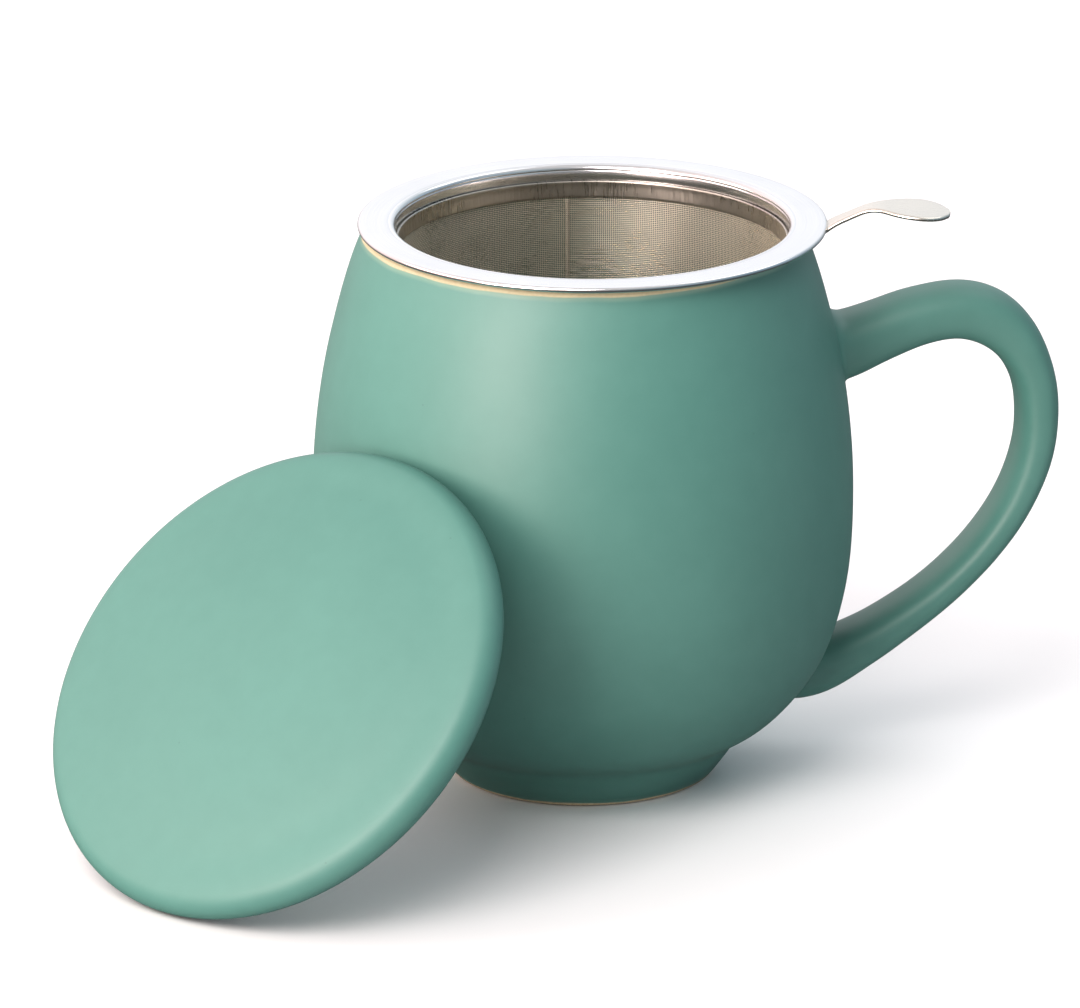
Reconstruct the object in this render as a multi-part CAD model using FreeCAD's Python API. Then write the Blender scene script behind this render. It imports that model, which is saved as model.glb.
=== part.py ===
import FreeCAD, Part
import math
import os

os.makedirs("parts", exist_ok=True)

V = FreeCAD.Vector

# ---------------------------------------------------------------- dimensions
# All in mm. Origin: mug axis at the table. +Z up, +X through the handle.

# mug body, outside profile as (radius, height)
MUG_OUT = [(22.72, 0.38), (23.25, 0.9), (24.0, 1.9), (25.1, 3.4), (26.2, 5.0),
           (27.2, 6.4), (28.5, 7.4), (30.1, 8.35), (32.6, 10.0), (36.72, 14.0),
           (40.97, 20.0), (44.01, 28.0),
           (45.76, 37.0), (46.30, 46.0), (46.21, 55.0), (45.48, 64.0), (44.12, 73.0),
           (42.34, 81.0), (40.45, 88.0), (38.75, 93.0), (37.86, 95.15)]
# inside profile, mouth to floor
MUG_IN = [(36.0, 95.15), (36.25, 92.0), (37.25, 87.0), (38.75, 81.0), (40.4, 73.0),
          (41.75, 64.0), (42.5, 55.0), (42.6, 46.0), (42.0, 37.0), (40.2, 28.0),
          (37.0, 20.6), (32.4, 14.6), (26.2, 10.4), (18.5, 7.9), (10.0, 7.0), (0.0, 6.8)]
LIP_MID = (36.93, 96.35)          # top of the rounded lip
FOOT_R_IN = 19.6                  # inside of the foot ring
FOOT_R_OUT = 22.4                 # outer edge of the resting face
RECESS_Z = 2.6                    # underside recess within the foot ring

# handle: centre line (x, z), thickness in its plane, width across
HANDLE = [(40.6, 72.2, 13.0, 15.2), (43.3, 72.5, 11.8, 14.4), (46.0, 72.95, 11.0, 13.5),
          (49.3, 74.0, 10.3, 12.7), (52.9, 75.25, 9.85, 12.2), (56.8, 76.55, 9.6, 12.0),
          (61.2, 77.5, 9.4, 12.0), (66.0, 77.75, 9.6, 12.0), (71.1, 76.25, 9.65, 12.0),
          (75.35, 72.7, 8.75, 12.0), (78.05, 68.15, 7.7, 12.0), (79.5, 63.4, 7.2, 12.0),
          (79.9, 58.9, 6.95, 12.0), (79.7, 54.65, 6.75, 12.0), (78.9, 50.55, 6.6, 12.0),
          (77.55, 46.65, 6.35, 12.0), (75.85, 43.05, 6.15, 12.0), (73.8, 39.65, 6.05, 12.0),
          (71.5, 36.55, 5.95, 12.0), (69.0, 33.65, 5.9, 12.0), (66.3, 30.95, 5.9, 12.0),
          (63.5, 28.45, 5.98, 12.0), (60.5, 26.1, 6.15, 12.0), (57.5, 24.0, 6.4, 12.1),
          (54.3, 21.95, 6.75, 12.3), (51.1, 20.05, 7.25, 12.6), (47.5, 18.2, 8.0, 13.0),
          (43.8, 16.45, 8.85, 13.5), (40.2, 15.15, 9.3, 13.9), (36.6, 14.5, 9.0, 14.0),
          (31.5, 14.6, 7.6, 13.6)]
HANDLE_POWER = 2.55               # roundness of the strap section

# infuser, coaxial pieces about their own axis
INF_X, INF_Y = 1.487, -0.316      # the basket sits a little off the mug axis
FLANGE_TOP = 97.6
FLANGE_T = 0.5
FLANGE_R = 40.0
HEM_R = 0.475                     # rolled outer edge
BEND_R = 0.9                      # rounded inner edge
NECK_RI, NECK_RO = 33.6, 34.0
NECK_Z = 92.4                     # lower edge of the neck
CLOTH_RI, CLOTH_RO = 33.34, 33.6
CLOTH_TOP = 94.6
BAND_RI, BAND_RO = 32.98, 33.34
BAND_Z0, BAND_Z1 = 91.9, 94.9
BASE_Z = 30.4                     # underside of the basket
BASE_T = 0.4
BASE_LIP_H = 3.6
BASE_HOLE_R = 31.0
BASE_RO = 33.95
FLOOR_T = 0.3
SEAM_AZ = 85.6                    # degrees, where the cloth joins
SEAM_W = 4.2
TAB_AZ = -12.4                    # degrees, direction of the thumb tab
TAB_T = 0.8
TAB_LINE = [(37.9, 96.15), (39.1, 96.17), (40.0, 96.67), (41.2, 97.45), (43.1, 98.35), (45.1, 99.25),
            (46.5, 99.8), (47.9, 100.1), (49.6, 100.15), (51.3, 100.0), (53.6, 99.81), (55.9, 99.6),
            (58.1, 99.35), (60.9, 98.97)]
TAB_HALF = [(37.9, 2.6), (40.5, 2.4), (43.1, 2.05), (45.1, 1.95), (46.5, 2.05), (47.9, 2.4),
            (49.6, 3.3), (51.3, 4.45), (53.6, 5.5), (55.6, 5.85), (57.0, 5.65), (58.4, 4.95),
            (59.6, 3.75), (60.4, 2.25)]
TAB_TIP = 60.8

# lid, about its own axis; z 0 is the plane through the middle of its rounded edge
LID_R = 43.486
LID_EDGE_R = 3.6
LID_RISE = 4.2                    # dome height above the edge
LID_RING_RO, LID_RING_RI = 32.2, 28.6
LID_RING_H = 4.0
LID_AZ, LID_EL = -144.145, 41.86  # where its top faces, in degrees
LID_C = (-61.82, -44.18, 33.31)   # leaning against the mug


# ---------------------------------------------------------------- helpers
def spline(points, t0=None, t1=None):
    c = Part.BSplineCurve()
    if t0 is not None and t1 is not None:
        c.interpolate(Points=points, InitialTangent=t0, FinalTangent=t1)
    else:
        c.interpolate(points)
    return c.toShape()


def rz(p):
    return V(p[0], 0, p[1])


def line(a, b):
    return Part.LineSegment(a, b).toShape()


def arc(a, m, b):
    return Part.Arc(a, m, b).toShape()


def turned(edges):
    face = Part.Face(Part.Wire(edges))
    solid = face.revolve(V(0, 0, 0), V(0, 0, 1), 360)
    if solid.Volume < 0:
        solid.reverse()
    return solid


def turned_poly(points):
    p = [rz(q) for q in points]
    return turned([line(p[i], p[(i + 1) % len(p)]) for i in range(len(p))])


def one_solid(shape):
    shape = shape.removeSplitter() if shape.ShapeType != "Solid" else shape
    solids = shape.Solids
    solids.sort(key=lambda s: -s.Volume)
    s = solids[0]
    if s.Volume < 0:
        s.reverse()
    return s


def save(shape, name):
    s = one_solid(shape)
    assert s.isValid(), name
    s.exportStep("parts/" + name + ".step")
    b = s.BoundBox
    print(name, len(shape.Solids), "solid", round(s.Volume / 1000, 3), "cm3",
          [round(v, 2) for v in (b.XMin, b.YMin, b.ZMin, b.XMax, b.YMax, b.ZMax)])
    return s


# ---------------------------------------------------------------- mug body
outer = [rz(p) for p in MUG_OUT]
inner = [rz(p) for p in MUG_IN]
body = turned([
    line(V(0, 0, RECESS_Z), V(FOOT_R_IN - 1.6, 0, RECESS_Z)),
    arc(V(FOOT_R_IN - 1.6, 0, RECESS_Z), V(FOOT_R_IN - 0.45, 0, 1.75), V(FOOT_R_IN, 0, 0.35)),
    arc(V(FOOT_R_IN, 0, 0.35), V(FOOT_R_IN + 0.12, 0, 0.1), V(FOOT_R_IN + 0.4, 0, 0)),
    line(V(FOOT_R_IN + 0.4, 0, 0), V(FOOT_R_OUT, 0, 0)),
    arc(V(FOOT_R_OUT, 0, 0), V(FOOT_R_OUT + 0.22, 0, 0.12), outer[0]),
    spline(outer),
    arc(outer[-1], rz(LIP_MID), inner[0]),
    spline(inner, V(0, 0, -1), V(-1, 0, 0)),
    line(inner[-1], V(0, 0, RECESS_Z)),
])
body = save(body, "mug_body")

# a plug the size of the outside, to shape the handle's ends to the wall
plug = turned([
    line(V(0, 0, outer[0].z), outer[0]),
    spline(outer),
    line(outer[-1], V(0, 0, outer[-1].z)),
    line(V(0, 0, outer[-1].z), V(0, 0, outer[0].z)),
])


# ---------------------------------------------------------------- mug handle
def strap_section(k):
    x, z, t, w = HANDLE[k]
    a = HANDLE[max(k - 1, 0)]
    b = HANDLE[min(k + 1, len(HANDLE) - 1)]
    tx, tz = b[0] - a[0], b[1] - a[1]
    n = math.hypot(tx, tz)
    nx, nz = -tz / n, tx / n
    pts = []
    for i in range(24):
        u = 2 * math.pi * i / 24
        c, s = math.cos(u), math.sin(u)
        e = 2.0 / HANDLE_POWER
        p = t / 2 * math.copysign(abs(c) ** e, c)
        q = w / 2 * math.copysign(abs(s) ** e, s)
        pts.append(V(x + nx * p, q, z + nz * p))
    c = Part.BSplineCurve()
    c.interpolate(Points=pts, PeriodicFlag=True)
    return Part.Wire(c.toShape())


strap = Part.makeLoft([strap_section(k) for k in range(len(HANDLE))], True, False)
handle = save(strap.cut(plug), "mug_handle")


# ---------------------------------------------------------------- infuser
def placed(shape, az=0.0):
    s = shape.copy()
    if az:
        s.rotate(V(0, 0, 0), V(0, 0, 1), az)
    s.translate(V(INF_X, INF_Y, 0))
    return s


z0, z1 = FLANGE_TOP - FLANGE_T, FLANGE_TOP
hr = FLANGE_R - HEM_R
hz = FLANGE_TOP - HEM_R
ri = NECK_RI + BEND_R
k45 = math.sqrt(0.5)
bo = ri - NECK_RO                 # outside radius of the bend's underside
rim = turned([
    line(V(ri, 0, z1), V(hr, 0, z1)),
    arc(V(hr, 0, z1), V(FLANGE_R, 0, hz), V(hr, 0, hz - HEM_R)),
    arc(V(hr, 0, hz - HEM_R), V(hr - 0.42, 0, hz - 0.28), V(hr - 0.55, 0, z0)),
    line(V(hr - 0.55, 0, z0), V(ri, 0, z0)),
    arc(V(ri, 0, z0), V(ri - bo * k45, 0, z0 - bo + bo * k45), V(NECK_RO, 0, z0 - bo)),
    line(V(NECK_RO, 0, z0 - bo), V(NECK_RO, 0, NECK_Z)),
    line(V(NECK_RO, 0, NECK_Z), V(NECK_RI, 0, NECK_Z)),
    line(V(NECK_RI, 0, NECK_Z), V(NECK_RI, 0, z1 - BEND_R)),
    arc(V(NECK_RI, 0, z1 - BEND_R), V(ri - BEND_R * k45, 0, z1 - BEND_R + BEND_R * k45), V(ri, 0, z1)),
])
rim = save(placed(rim), "infuser_rim")

band = turned([
    line(V(BAND_RI, 0, BAND_Z0 + 0.1), V(BAND_RI, 0, BAND_Z1 - 0.12)),
    arc(V(BAND_RI, 0, BAND_Z1 - 0.12), V(BAND_RI + 0.1, 0, BAND_Z1 - 0.02), V(BAND_RO, 0, BAND_Z1)),
    line(V(BAND_RO, 0, BAND_Z1), V(BAND_RO, 0, BAND_Z0)),
    arc(V(BAND_RO, 0, BAND_Z0), V(BAND_RI + 0.1, 0, BAND_Z0 + 0.02), V(BAND_RI, 0, BAND_Z0 + 0.1)),
])
band = save(placed(band), "infuser_clamp_band")

floor_z = BASE_Z + BASE_T
wall = save(placed(turned_poly([(CLOTH_RI, floor_z), (CLOTH_RO, floor_z),
                                (CLOTH_RO, CLOTH_TOP), (CLOTH_RI, CLOTH_TOP)])), "infuser_mesh_wall")

base = save(placed(turned_poly([(BASE_HOLE_R, BASE_Z), (BASE_RO - 0.3, BASE_Z), (BASE_RO, BASE_Z + 0.3),
                                (BASE_RO, BASE_Z + BASE_LIP_H), (CLOTH_RO, BASE_Z + BASE_LIP_H),
                                (CLOTH_RO, floor_z), (BASE_HOLE_R, floor_z)])), "infuser_base_ring")

mesh_floor = save(placed(Part.makeCylinder(CLOTH_RI, FLOOR_T, V(0, 0, floor_z))), "infuser_mesh_floor")

half = SEAM_W / 2 / CLOTH_RI * 180 / math.pi
seam = turned_poly([(CLOTH_RI - 0.28, floor_z + FLOOR_T + 0.2), (CLOTH_RI, floor_z + FLOOR_T + 0.2),
                    (CLOTH_RI, BAND_Z0), (CLOTH_RI - 0.28, BAND_Z0)])
wedge = Part.makeCylinder(40, 100, V(0, 0, 0), V(0, 0, 1), 2 * half)
wedge.rotate(V(0, 0, 0), V(0, 0, 1), -half)
seam = save(placed(seam.common(wedge), SEAM_AZ), "infuser_mesh_seam")

# thumb tab: bent strip cut to a teardrop outline
upper, lower = [], []
for i, (s, z) in enumerate(TAB_LINE):
    a = TAB_LINE[max(i - 1, 0)]
    b = TAB_LINE[min(i + 1, len(TAB_LINE) - 1)]
    ds, dz = b[0] - a[0], b[1] - a[1]
    n = math.hypot(ds, dz)
    upper.append(V(s - dz / n * TAB_T / 2, 0, z + ds / n * TAB_T / 2))
    lower.append(V(s + dz / n * TAB_T / 2, 0, z - ds / n * TAB_T / 2))
side = Part.Face(Part.Wire([spline(upper), line(upper[-1], lower[-1]), spline(lower[::-1]), line(lower[0], upper[0])]))
strip = side.extrude(V(0, 16, 0))
strip.translate(V(0, -8, 0))
left = [V(s, h, 90) for s, h in TAB_HALF]
right = [V(s, -h, 90) for s, h in TAB_HALF]
plan = Part.Face(Part.Wire([
    spline(left), arc(left[-1], V(TAB_TIP - 0.02, 0, 90), right[-1]), spline(right[::-1]), line(right[0], left[0])]))
tab = strip.common(plan.extrude(V(0, 0, 20)))
tab = placed(tab, TAB_AZ).cut(rim)
tab = save(tab, "infuser_tab")


# ---------------------------------------------------------------- lid
rc = LID_R - LID_EDGE_R
e = LID_EDGE_R
top = [(0, e + LID_RISE), (8, e + LID_RISE - 0.13), (16, e + LID_RISE - 0.56), (24, e + LID_RISE - 1.35),
       (31, e + LID_RISE - 2.42), (36, e + LID_RISE - 3.42), (rc - 0.9, e - 0.05)]
k = 0.3                           # where the dome flows into the rounded edge
pk = (rc + e * math.sin(k), e * math.cos(k))
top[-1] = (rc - 1.2, e - 0.02)
top = [p for p in top if p[0] < rc - 2] + [pk]
lid = turned([
    spline([V(p[0], 0, p[1]) for p in top], V(1, 0, 0), V(math.cos(k), 0, -math.sin(k))),
    arc(V(pk[0], 0, pk[1]), V(rc + e, 0, 0), V(rc, 0, -e)),
    line(V(rc, 0, -e), V(LID_RING_RO + 0.6, 0, -e)),
    arc(V(LID_RING_RO + 0.6, 0, -e), V(LID_RING_RO + 0.18, 0, -e - 0.18), V(LID_RING_RO, 0, -e - 0.6)),
    line(V(LID_RING_RO, 0, -e - 0.6), V(LID_RING_RO - 0.25, 0, -e - LID_RING_H + 0.8)),
    arc(V(LID_RING_RO - 0.25, 0, -e - LID_RING_H + 0.8), V((LID_RING_RO + LID_RING_RI) / 2, 0, -e - LID_RING_H),
        V(LID_RING_RI + 0.35, 0, -e - LID_RING_H + 0.8)),
    line(V(LID_RING_RI + 0.35, 0, -e - LID_RING_H + 0.8), V(LID_RING_RI - 0.4, 0, -e - 0.2)),
    spline([V(LID_RING_RI - 0.4, 0, -e - 0.2), V(LID_RING_RI - 3.0, 0, -1.2), V(16, 0, 1.9), V(0, 0, 3.3)],
           V(-0.3, 0, 1), V(-1, 0, 0)),
    line(V(0, 0, 3.3), V(0, 0, e + LID_RISE)),
])
lid.rotate(V(0, 0, 0), V(0, 1, 0), 90 - LID_EL)
lid.rotate(V(0, 0, 0), V(0, 0, 1), LID_AZ)
lid.translate(V(*LID_C))
lid = save(lid, "lid")

print("lid to mug gap", round(lid.distToShape(body)[0], 3))
print("rim to mug gap", round(rim.distToShape(body)[0], 3))
print("wall, base to mug gap", round(wall.distToShape(body)[0], 3), round(base.distToShape(body)[0], 3))
print("tab to mug gap", round(tab.distToShape(body)[0], 3), "tab to handle", round(tab.distToShape(handle)[0], 3))
print("tab to rim", round(tab.distToShape(rim)[0], 4), "handle to body", round(handle.distToShape(body)[0], 4))
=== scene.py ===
import bpy
import math
import numpy as np
from mathutils import Matrix, Vector


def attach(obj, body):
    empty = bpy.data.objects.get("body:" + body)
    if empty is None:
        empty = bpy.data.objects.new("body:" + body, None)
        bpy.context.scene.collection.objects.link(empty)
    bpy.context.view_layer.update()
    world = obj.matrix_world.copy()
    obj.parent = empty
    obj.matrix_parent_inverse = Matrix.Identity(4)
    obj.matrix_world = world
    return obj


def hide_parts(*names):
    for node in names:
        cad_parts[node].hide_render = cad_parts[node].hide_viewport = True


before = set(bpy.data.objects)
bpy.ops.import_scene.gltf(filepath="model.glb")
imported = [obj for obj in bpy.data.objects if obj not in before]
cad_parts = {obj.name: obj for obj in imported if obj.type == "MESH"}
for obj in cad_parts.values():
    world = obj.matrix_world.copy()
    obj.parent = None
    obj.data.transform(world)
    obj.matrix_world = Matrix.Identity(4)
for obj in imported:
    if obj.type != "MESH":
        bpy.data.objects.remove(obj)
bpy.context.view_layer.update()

MM = 0.001
rng = np.random.default_rng(7)

# ------------------------------------------------------------------ sizes (mm), as in the part
MUG_OUT = [(22.72, 0.38), (23.25, 0.9), (24.0, 1.9), (25.1, 3.4), (26.2, 5.0),
           (27.2, 6.4), (28.5, 7.4), (30.1, 8.35), (32.6, 10.0), (36.72, 14.0),
           (40.97, 20.0), (44.01, 28.0),
           (45.76, 37.0), (46.30, 46.0), (46.21, 55.0), (45.48, 64.0), (44.12, 73.0),
           (42.34, 81.0), (40.45, 88.0), (38.75, 93.0), (37.86, 95.15)]
MUG_IN = [(36.0, 95.15), (36.25, 92.0), (37.25, 87.0), (38.75, 81.0), (40.4, 73.0),
          (41.75, 64.0), (42.5, 55.0), (42.6, 46.0), (42.0, 37.0), (40.2, 28.0),
          (37.0, 20.6), (32.4, 14.6), (26.2, 10.4), (18.5, 7.9), (10.0, 7.0), (0.0, 6.8)]
FOOT_R_IN, FOOT_R_OUT, RECESS_Z = 19.6, 22.4, 2.6
HANDLE = [(40.6, 72.2, 13.0, 15.2), (43.3, 72.5, 11.8, 14.4), (46.0, 72.95, 11.0, 13.5),
          (49.3, 74.0, 10.3, 12.7), (52.9, 75.25, 9.85, 12.2), (56.8, 76.55, 9.6, 12.0),
          (61.2, 77.5, 9.4, 12.0), (66.0, 77.75, 9.6, 12.0), (71.1, 76.25, 9.65, 12.0),
          (75.35, 72.7, 8.75, 12.0), (78.05, 68.15, 7.7, 12.0), (79.5, 63.4, 7.2, 12.0),
          (79.9, 58.9, 6.95, 12.0), (79.7, 54.65, 6.75, 12.0), (78.9, 50.55, 6.6, 12.0),
          (77.55, 46.65, 6.35, 12.0), (75.85, 43.05, 6.15, 12.0), (73.8, 39.65, 6.05, 12.0),
          (71.5, 36.55, 5.95, 12.0), (69.0, 33.65, 5.9, 12.0), (66.3, 30.95, 5.9, 12.0),
          (63.5, 28.45, 5.98, 12.0), (60.5, 26.1, 6.15, 12.0), (57.5, 24.0, 6.4, 12.1),
          (54.3, 21.95, 6.75, 12.3), (51.1, 20.05, 7.25, 12.6), (47.5, 18.2, 8.0, 13.0),
          (43.8, 16.45, 8.85, 13.5), (40.2, 15.15, 9.3, 13.9), (36.6, 14.5, 9.0, 14.0),
          (31.5, 14.6, 7.6, 13.6)]
HANDLE_POWER = 2.55
INF_X, INF_Y = 1.487, -0.316
LID_R, LID_EDGE_R, LID_RISE = 43.486, 3.6, 4.2
RING_RO, RING_RI, RING_H = 32.2, 28.6, 4.0
LID_AZ, LID_EL = -144.145, 41.86
LID_C = (-61.82, -44.18, 33.31)
TAB_AZ = -12.4
SEAM_AZ = 85.6
TAB_T = 0.8
TAB_LINE = [(37.9, 96.15), (39.1, 96.17), (40.0, 96.67), (41.2, 97.45), (43.1, 98.35), (45.1, 99.25),
            (46.5, 99.8), (47.9, 100.1), (49.6, 100.15), (51.3, 100.0), (53.6, 99.81), (55.9, 99.6),
            (58.1, 99.35), (60.9, 98.97)]
TAB_HALF = [(37.9, 2.6), (40.5, 2.4), (43.1, 2.05), (45.1, 1.95), (46.5, 2.05), (47.9, 2.4),
            (49.6, 3.3), (51.3, 4.45), (53.6, 5.5), (55.6, 5.85), (57.0, 5.65), (58.4, 4.95),
            (59.6, 3.75), (60.4, 2.25)]


# ------------------------------------------------------------------ geometry helpers
class Spline:
    """Natural cubic through points, by chord length."""

    def __init__(self, pts, clamp0=None, clamp1=None):
        self.p = np.array(pts, float)
        d = np.linalg.norm(np.diff(self.p[:, :2], axis=0), axis=1)
        self.t = np.r_[0, np.cumsum(d)]
        n = len(self.t)
        h = np.diff(self.t)
        a = np.zeros((n, n))
        b = np.zeros_like(self.p)
        for i in range(1, n - 1):
            a[i, i - 1], a[i, i], a[i, i + 1] = h[i - 1], 2 * (h[i - 1] + h[i]), h[i]
            b[i] = 6 * ((self.p[i + 1] - self.p[i]) / h[i] - (self.p[i] - self.p[i - 1]) / h[i - 1])
        a[0, 0] = a[-1, -1] = 1
        if clamp0 is not None:
            a[0, 0], a[0, 1] = 2 * h[0], h[0]
            b[0] = 6 * ((self.p[1] - self.p[0]) / h[0] - np.array(clamp0, float))
        if clamp1 is not None:
            a[-1, -1], a[-1, -2] = 2 * h[-1], h[-1]
            b[-1] = 6 * (np.array(clamp1, float) - (self.p[-1] - self.p[-2]) / h[-1])
        self.m = np.linalg.solve(a, b)
        self.h = h

    def __call__(self, t):
        t = np.atleast_1d(t)
        i = np.clip(np.searchsorted(self.t, t, side="right") - 1, 0, len(self.h) - 1)
        h = self.h[i][:, None]
        u = (t - self.t[i])[:, None]
        v = h - u
        m0, m1 = self.m[i], self.m[i + 1]
        return (m0 * v ** 3 + m1 * u ** 3) / (6 * h) + (self.p[i] / h - m0 * h / 6) * v + (self.p[i + 1] / h - m1 * h / 6) * u

    def even(self, n):
        return self(np.linspace(0, self.t[-1], n))


def arc_pts(a, b, c, n):
    """n points on the circle through a, b, c, from a to c."""
    ax, ay = a; bx, by = b; cx, cy = c
    d = 2 * (ax * (by - cy) + bx * (cy - ay) + cx * (ay - by))
    ux = ((ax * ax + ay * ay) * (by - cy) + (bx * bx + by * by) * (cy - ay) + (cx * cx + cy * cy) * (ay - by)) / d
    uy = ((ax * ax + ay * ay) * (cx - bx) + (bx * bx + by * by) * (ax - cx) + (cx * cx + cy * cy) * (bx - ax)) / d
    r = math.hypot(ax - ux, ay - uy)
    t0, t1, t2 = (math.atan2(p[1] - uy, p[0] - ux) for p in (a, b, c))
    while t1 < t0:
        t1 += 2 * math.pi
    while t2 < t0:
        t2 += 2 * math.pi
    if t1 > t2:
        t2 -= 2 * math.pi
    t = np.linspace(t0, t2, n)
    return np.stack([ux + r * np.cos(t), uy + r * np.sin(t)], -1)


def chain(*parts):
    out = []
    for p in parts:
        for q in np.atleast_2d(np.array(p, float)):
            if not out or np.linalg.norm(q[:2] - out[-1][:2]) > 1e-6:
                out.append(q)
    return np.array(out)


def make(name, verts, faces, body, node=None, mat=None, sharp=None):
    me = bpy.data.meshes.new(name)
    me.from_pydata([tuple(v) for v in np.asarray(verts, float) * MM], [], [tuple(int(i) for i in f) for f in faces])
    me.validate()
    me.update()
    o = bpy.data.objects.new(name, me)
    bpy.context.scene.collection.objects.link(o)
    import bmesh
    bm = bmesh.new()
    bm.from_mesh(me)
    bmesh.ops.recalc_face_normals(bm, faces=bm.faces)
    bm.to_mesh(me)
    bm.free()
    me.shade_smooth()
    if sharp:
        me.set_sharp_from_angle(angle=math.radians(sharp))
    if mat:
        me.materials.append(mat)
    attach(o, body)
    if node:
        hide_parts(*([node] if isinstance(node, str) else node))
    return o


def lathe(profile, segs, closed=False, change=None):
    """Verts and faces of a turned profile of (r, z); a point at r 0 becomes a pole."""
    prof = np.array(profile, float)
    th = np.arange(segs) * 2 * math.pi / segs
    verts, rows = [], []
    for r, z in prof:
        if abs(r) < 1e-9:
            rows.append([len(verts)] * segs)
            verts.append((0, 0, z))
            continue
        rr, zz = np.full(segs, r), np.full(segs, z)
        if change is not None:
            rr, zz = change(rr, zz, th)
        rows.append(list(range(len(verts), len(verts) + segs)))
        verts.extend(np.stack([rr * np.cos(th), rr * np.sin(th), zz], -1))
    faces = []
    n = len(rows)
    for i in range(n if closed else n - 1):
        a, b = rows[i], rows[(i + 1) % n]
        for k in range(segs):
            k2 = (k + 1) % segs
            f = [a[k], a[k2], b[k2], b[k]]
            f = [v for j, v in enumerate(f) if v != f[j - 1]]
            if len(f) >= 3:
                faces.append(f)
    return np.array([np.array(v, float) for v in verts]), faces


def shift(verts, az=0.0, dx=INF_X, dy=INF_Y):
    c, s = math.cos(math.radians(az)), math.sin(math.radians(az))
    out = verts.copy()
    out[:, 0] = verts[:, 0] * c - verts[:, 1] * s + dx
    out[:, 1] = verts[:, 0] * s + verts[:, 1] * c + dy
    return out


# ------------------------------------------------------------------ material helpers
def new_mat(name):
    m = bpy.data.materials.new(name)
    m.use_nodes = True
    nt = m.node_tree
    nt.nodes.clear()
    out = nt.nodes.new("ShaderNodeOutputMaterial")
    bsdf = nt.nodes.new("ShaderNodeBsdfPrincipled")
    nt.links.new(bsdf.outputs[0], out.inputs["Surface"])
    co = nt.nodes.new("ShaderNodeTexCoord")
    return m, nt, bsdf, co


def noise(nt, co, scale, detail=3.0, rough=0.55, vec=None, dims="3D"):
    n = nt.nodes.new("ShaderNodeTexNoise")
    n.noise_dimensions = dims
    n.inputs["Scale"].default_value = scale
    n.inputs["Detail"].default_value = detail
    n.inputs["Roughness"].default_value = rough
    nt.links.new(vec if vec is not None else co.outputs["Object"], n.inputs["Vector"])
    return n


def ramp(nt, fac, stops):
    r = nt.nodes.new("ShaderNodeValToRGB")
    e = r.color_ramp.elements
    while len(e) < len(stops):
        e.new(0.5)
    for k, (p, c) in enumerate(stops):
        e[k].position = p
        e[k].color = (c[0], c[1], c[2], 1) if len(c) == 3 else c
    nt.links.new(fac, r.inputs["Fac"])
    return r


def math_node(nt, op, a, b=None, c=None, clamp=False):
    m = nt.nodes.new("ShaderNodeMath")
    m.operation = op
    m.use_clamp = clamp
    for i, v in enumerate((a, b, c)):
        if v is None:
            continue
        if isinstance(v, (int, float)):
            m.inputs[i].default_value = v
        else:
            nt.links.new(v, m.inputs[i])
    return m.outputs[0]


def mix_color(nt, fac, a, b, blend="MIX"):
    m = nt.nodes.new("ShaderNodeMix")
    m.data_type = "RGBA"
    m.blend_type = blend
    if isinstance(fac, (int, float)):
        m.inputs[0].default_value = fac
    else:
        nt.links.new(fac, m.inputs[0])
    for sock, v in ((6, a), (7, b)):
        if isinstance(v, tuple):
            m.inputs[sock].default_value = (*v[:3], 1)
        else:
            nt.links.new(v, m.inputs[sock])
    return m.outputs[2]


def smooth(nt, x, lo, hi, a=0.0, b=1.0):
    m = nt.nodes.new("ShaderNodeMapRange")
    m.interpolation_type = "SMOOTHSTEP"
    nt.links.new(x, m.inputs["Value"])
    m.inputs["From Min"].default_value = lo
    m.inputs["From Max"].default_value = hi
    m.inputs["To Min"].default_value = a
    m.inputs["To Max"].default_value = b
    return m.outputs["Result"]


def bump(nt, height, strength, dist, below=None):
    b = nt.nodes.new("ShaderNodeBump")
    b.inputs["Strength"].default_value = strength
    b.inputs["Distance"].default_value = dist
    nt.links.new(height, b.inputs["Height"])
    if below is not None:
        nt.links.new(below, b.inputs["Normal"])
    return b.outputs["Normal"]


GREEN = (0.052, 0.165, 0.138)
GREEN_DEEP = (0.048, 0.157, 0.131)
GREEN_PALE = (0.056, 0.174, 0.146)
CREAM = (0.40, 0.365, 0.235)
CLAY = (0.42, 0.36, 0.24)


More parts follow.
